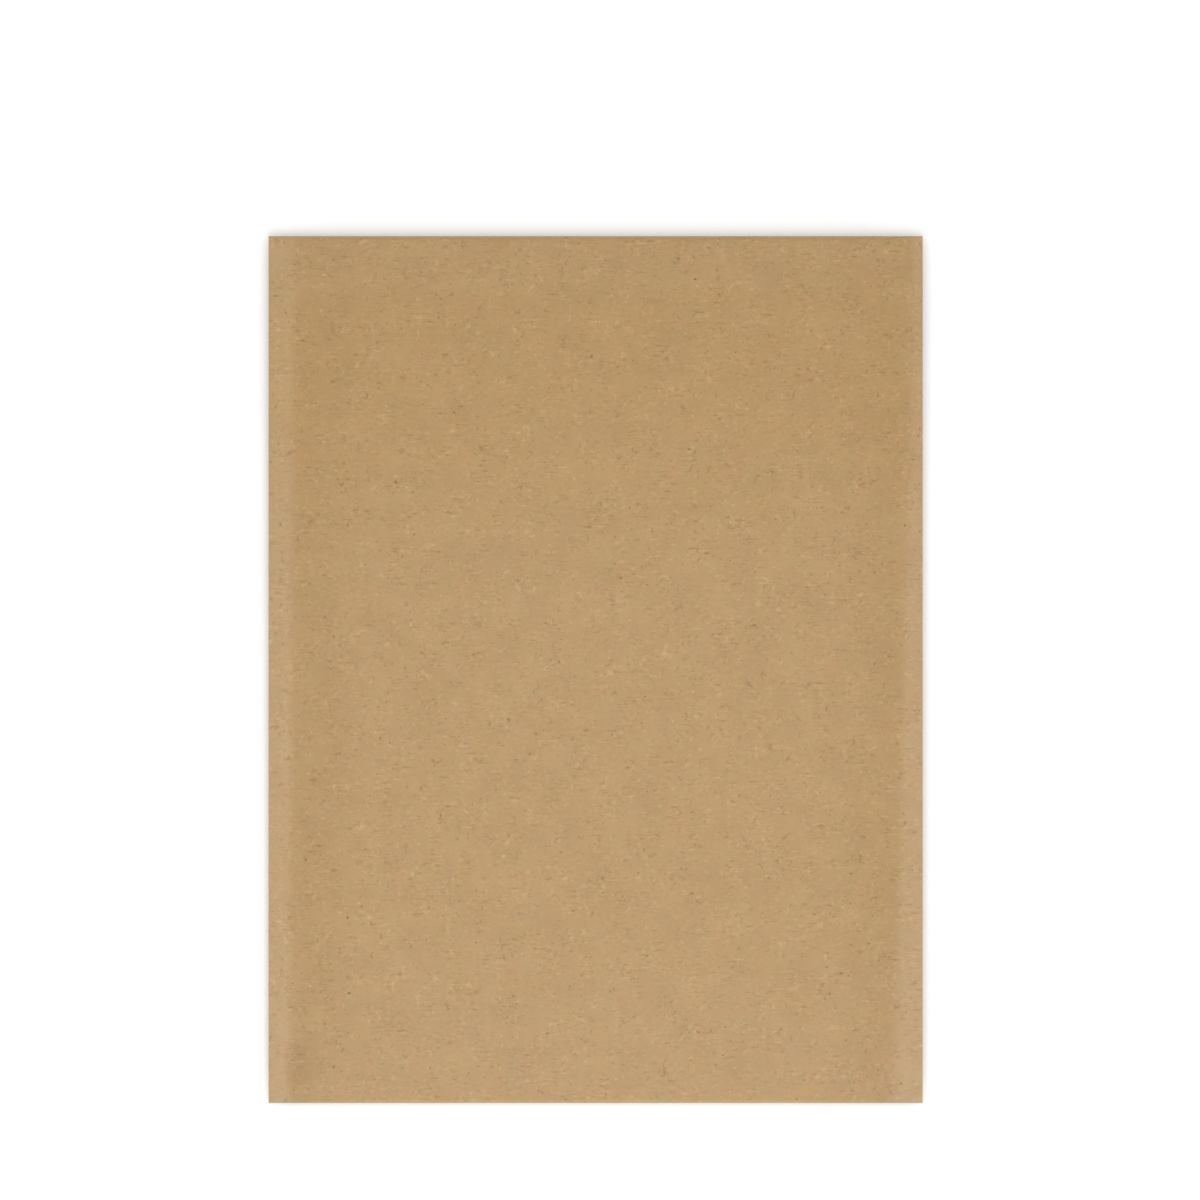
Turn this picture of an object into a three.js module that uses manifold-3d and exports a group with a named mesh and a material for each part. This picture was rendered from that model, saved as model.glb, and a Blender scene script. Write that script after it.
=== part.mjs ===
// Self-seal padded mailing envelope, empty, lying on its flap side.
//
// Millimetres, +Z up. +X runs across the envelope and +Y runs towards the fold that the flap turns
// over. The origin is under the middle of the envelope, on the surface that it lies on.
//
// The paper is one kraft sheet, cut flat and then folded. Followed from its free end it is the flap,
// the top fold, the front panel, the bottom fold and the back panel, which ends in the lip of the
// pocket's mouth. The two sides are sealed by heat. A folded sheet of bubble film lines the pocket,
// and the flap carries a strip of adhesive under a release liner.

import * as THREE from 'three';
import { mergeVertices } from 'three/addons/utils/BufferGeometryUtils.js';
import Module from 'manifold-3d';

const wasm = await Module();
wasm.setup();

// Whole envelope, outside
const WIDTH = 170;
const LENGTH = 225.4;
const PAPER = 0.2;

// Heat-sealed bands down the two sides, each a little wider at one end than at the other
const LEFT_SEAL_TOP = 6.4;
const LEFT_SEAL_BOTTOM = 5.2;
const RIGHT_SEAL_TOP = 2.2;
const RIGHT_SEAL_BOTTOM = 7.2;
const SEAL_HEIGHT = 2.6; // middle of a sealed band above the surface
const SEAL_FILM = 0.1; // fused film between the two papers of a band
const SEAL_SETBACK = 0.5; // the film stops this far inside the paper's cut edges
const SEAL_GRIP = 0.3; // and this far short of where the two papers part

// Padding
const FILM = 2.6; // bubble film, one layer
const POCKET = 0.6; // between the two layers of film
const FILM_CLEARANCE = 0.2; // film to paper
const FILM_SIDE_GAP = 2; // sealed band to the film's side edge
const FILM_LIP_GAP = 1.5; // lip of the back panel to the back film's edge
const FILM_FOLD_GAP = 4.5; // top fold to the front film's edge

// How the padding swells the panels between their seals and folds. The front panel lies at one height
// over the whole middle, so the film is pressed a little thinner where the flap lies underneath.
const SIDE_RUN = 10; // sealed band to full height
const TOP_SHARE = 0.6; // share of full height at the top fold
const TOP_FRONT_RUN = 57; // top fold to full height, on the front panel
const TOP_BACK_RUN = 20; // the same on the back panel
const BOTTOM_SHARE = 0.5; // share of full height at the bottom fold
const BOTTOM_RUN = 18; // bottom fold to full height

// Folds, mouth and flap
const FOLD_ROUND = 1.2; // how far a fold's rounding reaches in from the edge, at most
const FOLD_MARGIN = 2; // from a fold's rounding to the first bend of the panels and the film
const LIP_SETBACK = 3; // top fold to the back panel's lip
const FLAP = 50; // top fold to the flap's free edge
const FLAP_RAMP = 15; // length over which the back panel climbs onto the flap
const FLAP_LEAD = 1; // end of that climb to the flap's free edge
const FLAP_CLEARANCE = 0.12; // release liner to back panel

// Closure strips on the inner face of the flap
const ADHESIVE = 0.1;
const ADHESIVE_WIDTH = 14;
const LINER = 0.1;
const LINER_WIDTH = 20;
const STRIP_INSET = 6; // flap's free edge to the liner
const ADHESIVE_SIDE_GAP = 3; // ends of the strips to the sides of the envelope
const LINER_SIDE_GAP = 1.5;
const STRIP_GAP = 0.08; // between flap, adhesive and liner

// Facets
const SIDE_STEPS = 5; // across the swell beside a sealed band
const MIDDLE_STEPS = 4; // across the flat middle
const FOLD_STEPS = 6; // round a fold
const BEND_STEPS = 4; // up each stretch of a panel that bends
const PLAIN_STEPS = 3; // up the flat middle
const FLAP_STEPS = 2; // up the flat stretch of the flap
const LEAST_STEP = 1; // shorter facets beside a panel's end are left out
const MERGE = 1e-5; // corners nearer than this are one

// Heights and places that follow from the sizes above
const SLOT = STRIP_GAP + ADHESIVE + STRIP_GAP + LINER + FLAP_CLEARANCE;
const FULL_STACK = 2 * FILM + POCKET + 2 * FILM_CLEARANCE;
const POCKET_SHARE = POCKET / (2 * FILM + POCKET);
const TOP = LENGTH / 2;
const BOTTOM = -LENGTH / 2;
const LIP = TOP - LIP_SETBACK;
const FLAP_EDGE = TOP - FLAP;
const RAMP_END = FLAP_EDGE - FLAP_LEAD;
const RAMP_START = RAMP_END - FLAP_RAMP;
const FILM_TURN = FOLD_ROUND + FOLD_MARGIN;
const FRONT_FILM_END = TOP - FILM_FOLD_GAP;
const BACK_FILM_END = LIP - FILM_LIP_GAP;

const { lerp, clamp, smoothstep } = THREE.MathUtils;

// Where the sealed bands end, at a height y up the envelope
const leftSeal = (y) => -WIDTH / 2 + lerp(LEFT_SEAL_BOTTOM, LEFT_SEAL_TOP, y / LENGTH + 0.5);
const rightSeal = (y) => WIDTH / 2 - lerp(RIGHT_SEAL_BOTTOM, RIGHT_SEAL_TOP, y / LENGTH + 0.5);

// From 0 to 1, rising steeply at first and levelling off
const easeOut = (share) => 1 - (1 - clamp(share, 0, 1)) ** 2;

// How far the padding holds a panel at its full height: 0 at a sealed band, 1 in the open middle
function fullness(x, y, topRun) {
  const inside = Math.min(x - leftSeal(y), rightSeal(y) - x);
  const fromTop = lerp(TOP_SHARE, 1, easeOut((TOP - y) / topRun));
  const fromBottom = lerp(BOTTOM_SHARE, 1, easeOut((y - BOTTOM) / BOTTOM_RUN));
  return easeOut(inside / SIDE_RUN) * fromTop * fromBottom;
}

// Underside of the back panel where it is pressed flat: on the surface, or on the folded flap
const underside = (y) => (PAPER + SLOT) * smoothstep(y, RAMP_START, RAMP_END);

// The two faces that the padding fills the space between
function backInside(x, y) {
  return lerp(SEAL_HEIGHT - SEAL_FILM / 2, underside(y) + PAPER, fullness(x, y, TOP_BACK_RUN));
}

function frontInside(x, y) {
  const share = fullness(x, y, TOP_FRONT_RUN);
  return lerp(SEAL_HEIGHT + SEAL_FILM / 2, PAPER + FULL_STACK, share);
}

// Middle of the paper's thickness in each of its three panels
const frontMiddle = (x, y) => frontInside(x, y) + PAPER / 2;
const backMiddle = (x, y) => backInside(x, y) - PAPER / 2;
const flapMiddle = (x, y) => backInside(x, y) - PAPER - SLOT - PAPER / 2;

// Equal steps from one value to another, both ends included
function steps(from, to, count) {
  return Array.from({ length: count + 1 }, (_, k) => lerp(from, to, k / count));
}

// Places across the padding at a height y, fine over the swell beside each sealed band, which the
// first and the last place leave free by sideGap
function acrossPadding(y, sideGap) {
  const left = leftSeal(y);
  const right = rightSeal(y);
  const leftSwell = steps(left, left + SIDE_RUN, SIDE_STEPS).slice(1);
  const rightSwell = steps(right - SIDE_RUN, right, SIDE_STEPS).slice(0, -1);
  const middle = steps(left + SIDE_RUN, right - SIDE_RUN, MIDDLE_STEPS).slice(1, -1);
  const swells = [...leftSwell, ...middle, ...rightSwell];
  const first = left + sideGap;
  const last = right - sideGap;
  const spare = SIDE_RUN / SIDE_STEPS / 4;
  return [first, ...swells.filter((x) => x > first + spare && x < last - spare), last];
}

const acrossSheet = (y) => [-WIDTH / 2, ...acrossPadding(y, 0), WIDTH / 2];
const acrossFilm = (y) => acrossPadding(y, FILM_SIDE_GAP);
const SHEET_COLUMNS = acrossSheet(0).length;
const FILM_COLUMNS = acrossFilm(0).length;

// A flat blank, a box one step thick, with each of its corners moved to its place. place(i, j, face)
// takes the column, the row and which face: 0 is the outside, 1 the inside.
function shapedBlank(columns, rows, place) {
  const blank = new THREE.BoxGeometry(1, 1, 1, columns - 1, rows - 1, 1);
  blank.deleteAttribute('normal');
  blank.deleteAttribute('uv');
  const position = blank.attributes.position;
  for (let k = 0; k < position.count; k += 1) {
    const i = Math.round((position.getX(k) + 0.5) * (columns - 1));
    const j = Math.round((position.getY(k) + 0.5) * (rows - 1));
    const point = place(i, j, position.getZ(k) > 0 ? 1 : 0);
    position.setXYZ(k, point.x, point.y, point.z);
  }
  return mergeVertices(blank, MERGE);
}

// Rows along the paper. Each gives the height y that its seal widths are read at, and the place of
// the middle of the paper for a place x across.
const panelRow = (y, middle) => ({ level: y, at: (x) => new THREE.Vector3(x, y, middle(x, y)) });

// A fold between a lower and an upper panel, at the end of the envelope that direction points to
function foldShape(x, direction, lower, upper) {
  const end = direction > 0 ? TOP : BOTTOM;
  const near = end - direction * FOLD_ROUND;
  const rise = (upper(x, near) - lower(x, near)) / 2;
  const reach = Math.min(FOLD_ROUND, rise);
  const centre = end - direction * (PAPER / 2 + reach);
  const middle = (upper(x, near) + lower(x, near)) / 2;
  return { centre, middle, rise, reach };
}

function foldRow(direction, lower, upper, angle) {
  const at = (x) => {
    const fold = foldShape(x, direction, lower, upper);
    const y = fold.centre + direction * fold.reach * Math.cos(angle);
    const z = fold.middle + fold.rise * Math.sin(angle);
    return new THREE.Vector3(x, y, z);
  };
  return { level: direction > 0 ? TOP : BOTTOM, at };
}

// Levels up the envelope where the panels bend, from the bottom to the top
const bottomLevels = steps(BOTTOM + FILM_TURN, BOTTOM + BOTTOM_RUN, BEND_STEPS);
const middleLevels = steps(BOTTOM + BOTTOM_RUN, RAMP_START, PLAIN_STEPS).slice(1, -1);
const rampLevels = steps(RAMP_START, RAMP_END, BEND_STEPS);
const topLevels = steps(TOP - TOP_BACK_RUN, TOP - FOLD_ROUND - FOLD_MARGIN, BEND_STEPS).slice(1);
const flapLevels = [...steps(FLAP_EDGE, TOP - TOP_BACK_RUN, FLAP_STEPS), ...topLevels];
const panelLevels = [...bottomLevels, ...middleLevels, ...rampLevels, ...flapLevels];

// Those of the levels that lie below an end, and then that end
const levelsUpTo = (levels, end) => [...levels.filter((y) => y < end - LEAST_STEP), end];

// The folded sheet's rows, from the flap's free edge to the lip
const foldAngles = steps(-Math.PI / 2, Math.PI / 2, FOLD_STEPS);
const sheetRows = [
  ...flapLevels.map((y) => panelRow(y, flapMiddle)),
  ...foldAngles.map((angle) => foldRow(1, flapMiddle, frontMiddle, angle)),
  ...[...panelLevels].reverse().map((y) => panelRow(y, frontMiddle)),
  ...[...foldAngles].reverse().map((angle) => foldRow(-1, backMiddle, frontMiddle, angle)),
  ...levelsUpTo(panelLevels, LIP).map((y) => panelRow(y, backMiddle)),
];

function sheetPoint(i, j) {
  const row = sheetRows[clamp(j, 0, sheetRows.length - 1)];
  return row.at(acrossSheet(row.level)[i]);
}

// The paper's middle pushed half its thickness to one side, square to its run up the envelope
function sheetPlace(i, j, face) {
  const point = sheetPoint(i, j);
  const run = sheetPoint(i, j + 1).sub(sheetPoint(i, j - 1));
  const inward = new THREE.Vector3(0, -run.z, run.y).normalize();
  return point.addScaledVector(inward, face === 1 ? PAPER / 2 : -PAPER / 2);
}

const folded = shapedBlank(SHEET_COLUMNS, sheetRows.length, sheetPlace);

// The fused film of one sealed band, which holds the front and back papers together. It reaches into
// both papers, from the bottom fold to just under the lip.
function sealedBand(outer, edge) {
  const bottomEnd = BOTTOM + PAPER / 2;
  const topEnd = LIP - SEAL_SETBACK;
  const inward = -Math.sign(outer);
  const outline = new THREE.Shape([
    new THREE.Vector2(outer + inward * SEAL_SETBACK, bottomEnd),
    new THREE.Vector2(edge(bottomEnd) - inward * SEAL_GRIP, bottomEnd),
    new THREE.Vector2(edge(topEnd) - inward * SEAL_GRIP, topEnd),
    new THREE.Vector2(outer + inward * SEAL_SETBACK, topEnd),
  ]);
  const depth = SEAL_FILM + PAPER;
  const band = new THREE.ExtrudeGeometry(outline, { depth, bevelEnabled: false });
  band.translate(0, 0, SEAL_HEIGHT - depth / 2);
  return band;
}

// A closed geometry as a solid, and a solid back as a geometry
function toSolid(geometry) {
  const bare = geometry.clone();
  bare.deleteAttribute('normal');
  bare.deleteAttribute('uv');
  const merged = mergeVertices(bare, MERGE);
  const vertProperties = new Float32Array(merged.attributes.position.array);
  const triVerts = new Uint32Array(merged.index.array);
  return new wasm.Manifold(new wasm.Mesh({ numProp: 3, vertProperties, triVerts }));
}

function toGeometry(solid) {
  const mesh = solid.getMesh();
  const geometry = new THREE.BufferGeometry();
  geometry.setAttribute('position', new THREE.BufferAttribute(mesh.vertProperties, 3));
  geometry.setIndex(new THREE.BufferAttribute(mesh.triVerts, 1));
  return geometry;
}

const sealedSheet = toSolid(folded)
  .add(toSolid(sealedBand(-WIDTH / 2, leftSeal)))
  .add(toSolid(sealedBand(WIDTH / 2, rightSeal)));

// The film lies against the inside of the paper: down the front, round the bottom fold and up the
// back. Film and pocket share whatever height there is between the two papers.
function filmFaces(x, y) {
  const low = backInside(x, y) + FILM_CLEARANCE;
  const high = frontInside(x, y) - FILM_CLEARANCE;
  return { low, high, middle: (low + high) / 2, halfPocket: (POCKET_SHARE * (high - low)) / 2 };
}

const filmFront = (x, y, face) => {
  const faces = filmFaces(x, y);
  return new THREE.Vector3(x, y, face === 1 ? faces.middle + faces.halfPocket : faces.high);
};

const filmBack = (x, y, face) => {
  const faces = filmFaces(x, y);
  return new THREE.Vector3(x, y, face === 1 ? faces.middle - faces.halfPocket : faces.low);
};

// The bottom turn: the outside follows the paper's fold, and the inside closes round the pocket
function filmTurn(x, angle, face) {
  const start = BOTTOM + FILM_TURN;
  const faces = filmFaces(x, start);
  const outer = FILM_TURN - PAPER - FILM_CLEARANCE;
  const reach = face === 1 ? faces.halfPocket : outer;
  const rise = face === 1 ? faces.halfPocket : (faces.high - faces.low) / 2;
  const y = start - reach * Math.cos(angle);
  return new THREE.Vector3(x, y, faces.middle + rise * Math.sin(angle));
}

// The film's rows, from its edge at the front, down, round the turn and up to its edge at the back.
// The turn starts at the lowest level of the panels.
const filmLevels = panelLevels.slice(1);
const filmRow = (level, at) => ({ level, at });
const filmRows = [
  ...levelsUpTo(filmLevels, FRONT_FILM_END)
    .reverse()
    .map((y) => filmRow(y, (x, face) => filmFront(x, y, face))),
  ...[...foldAngles].reverse().map((angle) => filmRow(BOTTOM, (x, face) => filmTurn(x, angle, face))),
  ...levelsUpTo(filmLevels, BACK_FILM_END).map((y) => filmRow(y, (x, face) => filmBack(x, y, face))),
];

const lining = shapedBlank(FILM_COLUMNS, filmRows.length, (i, j, face) => {
  const row = filmRows[j];
  return row.at(acrossFilm(row.level)[i], face);
});

// A thin strip across the flap's inner face, bent as the flap is. It starts so far up from the flap's
// free edge, and lies so far above the flap's paper.
function flapStrip(fromEdge, width, thickness, above, sideGap) {
  const start = FLAP_EDGE + fromEdge;
  const end = WIDTH / 2 - sideGap;
  const bends = acrossPadding(start + width / 2, 0).filter((x) => Math.abs(x) < end);
  const across = [-end, ...bends, end];
  return shapedBlank(across.length, 2, (i, j, face) => {
    const x = across[i];
    const y = start + j * width;
    const z = flapMiddle(x, y) + PAPER / 2 + above + face * thickness;
    return new THREE.Vector3(x, y, z);
  });
}

const adhesiveInset = STRIP_INSET + (LINER_WIDTH - ADHESIVE_WIDTH) / 2;
const linerAbove = STRIP_GAP + ADHESIVE + STRIP_GAP;
const adhesive = flapStrip(adhesiveInset, ADHESIVE_WIDTH, ADHESIVE, STRIP_GAP, ADHESIVE_SIDE_GAP);
const liner = flapStrip(STRIP_INSET, LINER_WIDTH, LINER, linerAbove, LINER_SIDE_GAP);

// Finishes
const kraft = new THREE.MeshStandardMaterial({ color: '#bb9a70', roughness: 0.85, metalness: 0 });
const clearFilm = new THREE.MeshStandardMaterial({
  color: '#dfe7ea',
  roughness: 0.25,
  metalness: 0,
  transparent: true,
  opacity: 0.5,
});
const glue = new THREE.MeshStandardMaterial({ color: '#e6d9b4', roughness: 0.35, metalness: 0 });
const siliconePaper = new THREE.MeshStandardMaterial({
  color: '#f2efe4',
  roughness: 0.4,
  metalness: 0,
});

const envelope = new THREE.Group();

function addPiece(name, geometry, material) {
  const piece = new THREE.Mesh(geometry, material);
  piece.name = name;
  envelope.add(piece);
}

addPiece('kraft_sheet', toGeometry(sealedSheet), kraft);
addPiece('bubble_lining', lining, clearFilm);
addPiece('adhesive_strip', adhesive, glue);
addPiece('release_liner', liner, siliconePaper);

export default envelope;
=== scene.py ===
"""Padded mailing envelope: one folded kraft sheet, its bubble-film lining, a glue strip and its liner.

Metres, +Z up. +X runs across the envelope and +Y towards the fold that the flap turns over. The
envelope lies on its flap side, with its address side up.
"""

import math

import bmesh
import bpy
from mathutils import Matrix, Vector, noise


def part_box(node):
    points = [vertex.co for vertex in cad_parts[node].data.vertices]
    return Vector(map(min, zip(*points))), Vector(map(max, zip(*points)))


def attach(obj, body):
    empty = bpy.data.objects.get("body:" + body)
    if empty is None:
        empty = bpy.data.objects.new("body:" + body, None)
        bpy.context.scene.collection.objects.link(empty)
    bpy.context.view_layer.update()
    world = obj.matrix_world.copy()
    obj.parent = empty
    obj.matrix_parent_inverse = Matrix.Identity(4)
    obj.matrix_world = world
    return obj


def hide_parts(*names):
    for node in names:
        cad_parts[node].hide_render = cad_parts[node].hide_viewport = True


bl_info = {
    "name": "Padded Envelope",
    "version": (1, 0, 0),
    "blender": (4, 5, 0),
    "location": "View3D > Sidebar > Envelope",
    "description": "Models a folded kraft envelope that is lined with bubble film",
    "category": "Add Mesh",
}

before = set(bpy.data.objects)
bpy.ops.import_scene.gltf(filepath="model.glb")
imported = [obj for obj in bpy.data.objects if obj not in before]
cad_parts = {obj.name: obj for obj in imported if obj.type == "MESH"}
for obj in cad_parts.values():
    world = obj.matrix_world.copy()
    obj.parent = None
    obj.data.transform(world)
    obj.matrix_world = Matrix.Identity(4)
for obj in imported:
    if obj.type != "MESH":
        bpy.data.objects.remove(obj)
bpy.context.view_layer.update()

MM = 0.001

# The blank is folded with its panels this far apart, so that each is told by its height, and then
# pressed to its real shape
FLAP_LEVEL = -4 * MM
BACK_LEVEL = 0.0
FRONT_LEVEL = 8 * MM
NEAR = 0.01 * MM
MERGE_REACH = NEAR / 10
ROUNDING = 1e-6

# Facets
FINE_STEP = 0.7 * MM
EDGE_STEP = 1.0 * MM
PLAIN_STEP = 2.2 * MM
FOLD_STEPS = 16
FILM_STEP = 2.4 * MM
TURN_CUTS = 9
BUBBLE_SIDES = 12
PAPER_SHARP = 40
FILM_SHARP = 50

# Names of what the materials read
SHEET_MAP = "Sheet"
SEALED = "sealed"
PAINTED_HIGHLIGHT = "highlight_mask"
PAINTED_SHADE = "shade_mask"


def length(name, description, default):
    """A size in metres that a user can change"""
    return bpy.props.FloatProperty(
        name=name, description=description, default=default, min=0, precision=5, unit="LENGTH"
    )


def share(name, description, default):
    """A part of a whole, from 0 to 1"""
    return bpy.props.FloatProperty(
        name=name, description=description, default=default, min=0, max=1, subtype="FACTOR"
    )


def colour(name, description, default):
    """A colour in linear light"""
    return bpy.props.FloatVectorProperty(
        name=name, description=description, default=default, min=0, max=1, size=3, subtype="COLOR"
    )


def strength(name, description, default):
    """The power of a light in watts"""
    return bpy.props.FloatProperty(
        name=name, description=description, default=default, min=0, unit="POWER"
    )


class EnvelopeSizes(bpy.types.PropertyGroup):
    """Sizes of the paper, the padding and the closure. The outside size comes from the frame."""

    paper: length("Paper", "Thickness of the kraft paper", 0.2 * MM)
    left_seal_top: length("Left Seal, Top", "Width of the left sealed band at the top", 6.4 * MM)
    left_seal_bottom: length("Left Seal, Bottom", "The same at the bottom", 5.2 * MM)
    right_seal_top: length("Right Seal, Top", "Width of the right sealed band at the top", 2.2 * MM)
    right_seal_bottom: length("Right Seal, Bottom", "The same at the bottom", 7.2 * MM)
    seal_height: length("Seal Height", "Middle of the sealed bands above the table", 3.4 * MM)
    seal_film: length("Seal Film", "Fused film between the two papers of a band", 0.1 * MM)
    side_run: length("Side Run", "From a sealed band to full height", 16.5 * MM)
    top_front_run: length("Top Run, Front", "Top fold to full height, on the front", 57 * MM)
    top_back_run: length("Top Run, Back", "The same on the back panel", 20 * MM)
    bottom_run: length("Bottom Run", "Bottom fold to full height", 18 * MM)
    top_share: share("Top Share", "Share of full height at the top fold", 0.6)
    bottom_share: share("Bottom Share", "Share of full height at the bottom fold", 0.5)
    fold_round: length("Fold Rounding", "Reach of a fold's rounding, at most", 1.2 * MM)
    lip_setback: length("Lip Setback", "Top fold to the back panel's lip", 3 * MM)
    flap: length("Flap", "Top fold to the flap's free edge", 50 * MM)
    flap_ramp: length("Flap Ramp", "Where the back panel climbs onto the flap", 15 * MM)
    flap_slot: length("Flap Slot", "Room between the flap and the back panel", 0.48 * MM)
    film: length("Film", "One layer of bubble film, bubbles included", 2.6 * MM)
    film_web: length("Film Web", "The flat film that carries the bubbles", 0.1 * MM)
    film_clearance: length("Film Clearance", "From the film to the paper", 0.2 * MM)
    pocket: length("Pocket", "Room between the two layers of film", 0.6 * MM)
    bubble: length("Bubble", "Width of one bubble", 9.4 * MM)
    bubble_pitch: length("Bubble Pitch", "From one bubble to the next", 10.6 * MM)
    glue_width: length("Glue Width", "Width of the glue strip", 14 * MM)
    liner_width: length("Liner Width", "Width of the release liner", 20 * MM)


class EnvelopeColours(bpy.types.PropertyGroup):
    """Colours of the materials"""

    kraft: colour("Kraft", "The brown paper", (0.407, 0.252, 0.105))
    # Paler partly because pressed paper is, and partly as painted sheen, which the flat sealed bands
    # would reflect more of
    sealed_kraft_and_sheen: colour("Sealed Kraft", "The paper of the sealed bands", (0.430, 0.275, 0.126))
    dark_fleck: colour("Dark Fleck", "Specks of bark and ink in the paper", (0.17, 0.092, 0.03))
    pale_fleck: colour("Pale Fleck", "Bleached fibres in the paper", (0.62, 0.46, 0.25))
    # Painted highlight: a pale, greyer tint laid along the paper's folds, where a bent edge would catch
    # the light
    highlight_tint: colour("Fold Highlight", "The paper's bent edges", (0.42, 0.35, 0.25))
    film: colour("Film", "The bubble film", (0.86, 0.89, 0.90))
    glue: colour("Glue", "The glue strip", (0.78, 0.69, 0.45))
    liner: colour("Liner", "The release liner", (0.86, 0.84, 0.77))
    floor: colour("Floor", "The floor and what surrounds it", (0.95, 0.95, 0.95))


class EnvelopeStage(bpy.types.PropertyGroup):
    """Lights and camera"""

    surround: bpy.props.FloatProperty(
        name="Surround", description="Brightness of the light from all round", default=0.89, min=0
    )
    floor_glow: share("Floor Glow", "How much the floor is lit from below", 0.1)
    near_light: strength("Near Light", "Soft light low over the bottom half", 0.36)
    front_light: strength("Front Light", "Soft light from beyond the bottom", 2.2)
    lens: bpy.props.FloatProperty(
        name="Lens", description="Focal length in millimetres", default=200, min=1
    )


def clamped(value):
    """value kept from 0 to 1"""
    return min(max(value, 0.0), 1.0)


def blend(first, last, part):
    """From first, where part is 0, to last, where it is 1"""
    return first + (last - first) * part


def ease_out(part):
    """From 0 to 1, steeply at first and then level"""
    return 1 - (1 - clamped(part)) ** 2


def smooth_step(value, start, end):
    """From 0 at start to 1 at end, level at both"""
    part = clamped((value - start) / (end - start))
    return part * part * (3 - 2 * part)


def spread(start, end, step):
    """Equal steps from start to end, none longer than step, with both ends"""
    count = max(1, math.ceil(abs(end - start) / step - ROUNDING))
    return [blend(start, end, k / count) for k in range(count + 1)]


# How a padded panel leaves its seal, and how it lies uneven over its bubbles
TOE = 0.3
WAVE_ROOM = 0.12 * MM
BROAD_WAVE = 42 * MM
BROAD_RISE = 0.16 * MM
SMALL_WAVE = 15 * MM
SMALL_RISE = 0.05 * MM
PUCKER_LENGTH = 9 * MM
PUCKER_RISE = 0.05 * MM
PUCKER_REACH = 4 * MM
PUCKER_DRIFT = 2
FRONT_SEED = 3.1

# Folding and clearances
TURN_MARGIN = 2 * MM
FILM_LIP_GAP = 1.5 * MM
FILM_FOLD_GAP = 4.5 * MM
FILM_SETBACK = 0.5 * MM
FILM_GAP_SHARE = 1 / 8
FLAP_LEAD = 1 * MM
FLAP_SETTLE = 25 * MM


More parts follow.
